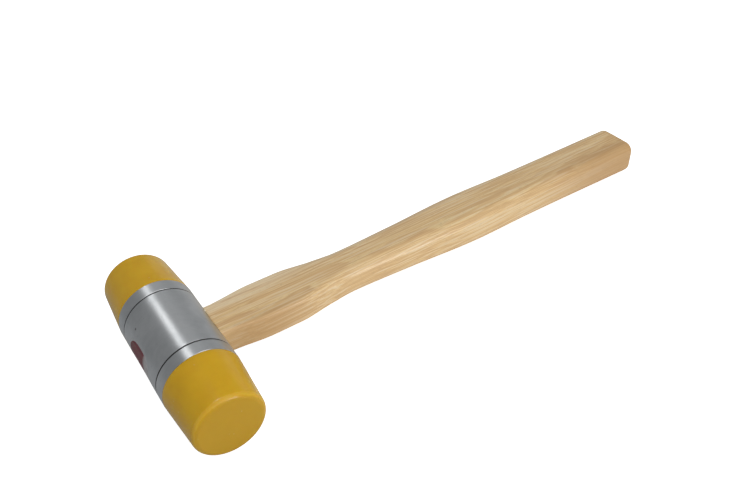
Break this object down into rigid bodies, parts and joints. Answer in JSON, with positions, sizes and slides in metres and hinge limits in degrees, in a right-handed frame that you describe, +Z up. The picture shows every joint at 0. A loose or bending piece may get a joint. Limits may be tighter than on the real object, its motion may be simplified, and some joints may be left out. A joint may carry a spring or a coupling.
{
  "type": "dead blow mallet",
  "caption": "Dead blow mallet with a steel head full of loose shot, two screw-on plastic striking tips and a straight wooden handle wedged through an oval eye.",
  "frame": {"origin": "middle of the bounding box, on the surface the mallet lies on", "axes": "+X along the handle towards the butt, +Y along the head towards the rear tip, +Z up"},
  "size_m": [0.322, 0.1176, 0.04],
  "materials": {
    "turned_steel": "fine turned satin",
    "bush_steel": "turned",
    "tip_plastic": "waxy satin, slightly translucent yellow",
    "hickory": "sanded, thin clear coat",
    "wedge_wood": "sawn",
    "seal_lacquer": "gloss dark red lacquer",
    "shot_steel": "dull"
  },
  "bodies": {
    "head_and_handle": {"end_cap_front": "turned_steel", "end_cap_rear": "turned_steel", "eye_seal": "seal_lacquer", "eye_sleeve": "turned_steel", "handle": "hickory", "handle_wedge": "wedge_wood", "housing_sleeve": "turned_steel"},
    "front_bush": {"tip_bush_front": "bush_steel"},
    "front_tip": {"striking_tip_front": "tip_plastic"},
    "front_shot": {"shot_front_01": "shot_steel", "shot_front_02": "shot_steel", "shot_front_03": "shot_steel", "shot_front_04": "shot_steel", "shot_front_05": "shot_steel", "shot_front_06": "shot_steel", "shot_front_07": "shot_steel", "shot_front_08": "shot_steel", "shot_front_09": "shot_steel", "shot_front_10": "shot_steel", "shot_front_11": "shot_steel", "shot_front_12": "shot_steel", "shot_front_13": "shot_steel", "shot_front_14": "shot_steel", "shot_front_15": "shot_steel", "shot_front_16": "shot_steel", "shot_front_17": "shot_steel"},
    "rear_bush": {"tip_bush_rear": "bush_steel"},
    "rear_tip": {"striking_tip_rear": "tip_plastic"},
    "rear_shot": {"shot_rear_01": "shot_steel", "shot_rear_02": "shot_steel", "shot_rear_03": "shot_steel", "shot_rear_04": "shot_steel", "shot_rear_05": "shot_steel", "shot_rear_06": "shot_steel", "shot_rear_07": "shot_steel", "shot_rear_08": "shot_steel", "shot_rear_09": "shot_steel", "shot_rear_10": "shot_steel", "shot_rear_11": "shot_steel", "shot_rear_12": "shot_steel", "shot_rear_13": "shot_steel", "shot_rear_14": "shot_steel", "shot_rear_15": "shot_steel", "shot_rear_16": "shot_steel", "shot_rear_17": "shot_steel"}
  },
  "joints": [
    {"name": "front_bush_slide", "type": "slide", "parent": "head_and_handle", "child": "front_bush", "axis": [0, -1, 0], "range_m": [0, 0.01225]},
    {"name": "front_tip_unscrew", "type": "hinge", "parent": "front_bush", "child": "front_tip", "pos_m": [-0.14104, -0.0588, 0.02], "axis": [0, -1, 0], "range_deg": [0, 2520]},
    {"name": "front_shot_slide", "type": "slide", "parent": "head_and_handle", "child": "front_shot", "axis": [0, -1, 0], "range_m": [0, 0.005]},
    {"name": "rear_bush_slide", "type": "slide", "parent": "head_and_handle", "child": "rear_bush", "axis": [0, 1, 0], "range_m": [0, 0.01225]},
    {"name": "rear_tip_unscrew", "type": "hinge", "parent": "rear_bush", "child": "rear_tip", "pos_m": [-0.14104, 0.0588, 0.02], "axis": [0, 1, 0], "range_deg": [0, 2520]},
    {"name": "rear_shot_slide", "type": "slide", "parent": "head_and_handle", "child": "rear_shot", "axis": [0, 1, 0], "range_m": [0, 0.005]}
  ],
  "couplings": [
    {"joint": "front_bush_slide", "follows": "front_tip_unscrew", "m_per_rad": 0.0002785},
    {"joint": "rear_bush_slide", "follows": "rear_tip_unscrew", "m_per_rad": 0.0002785}
  ]
}
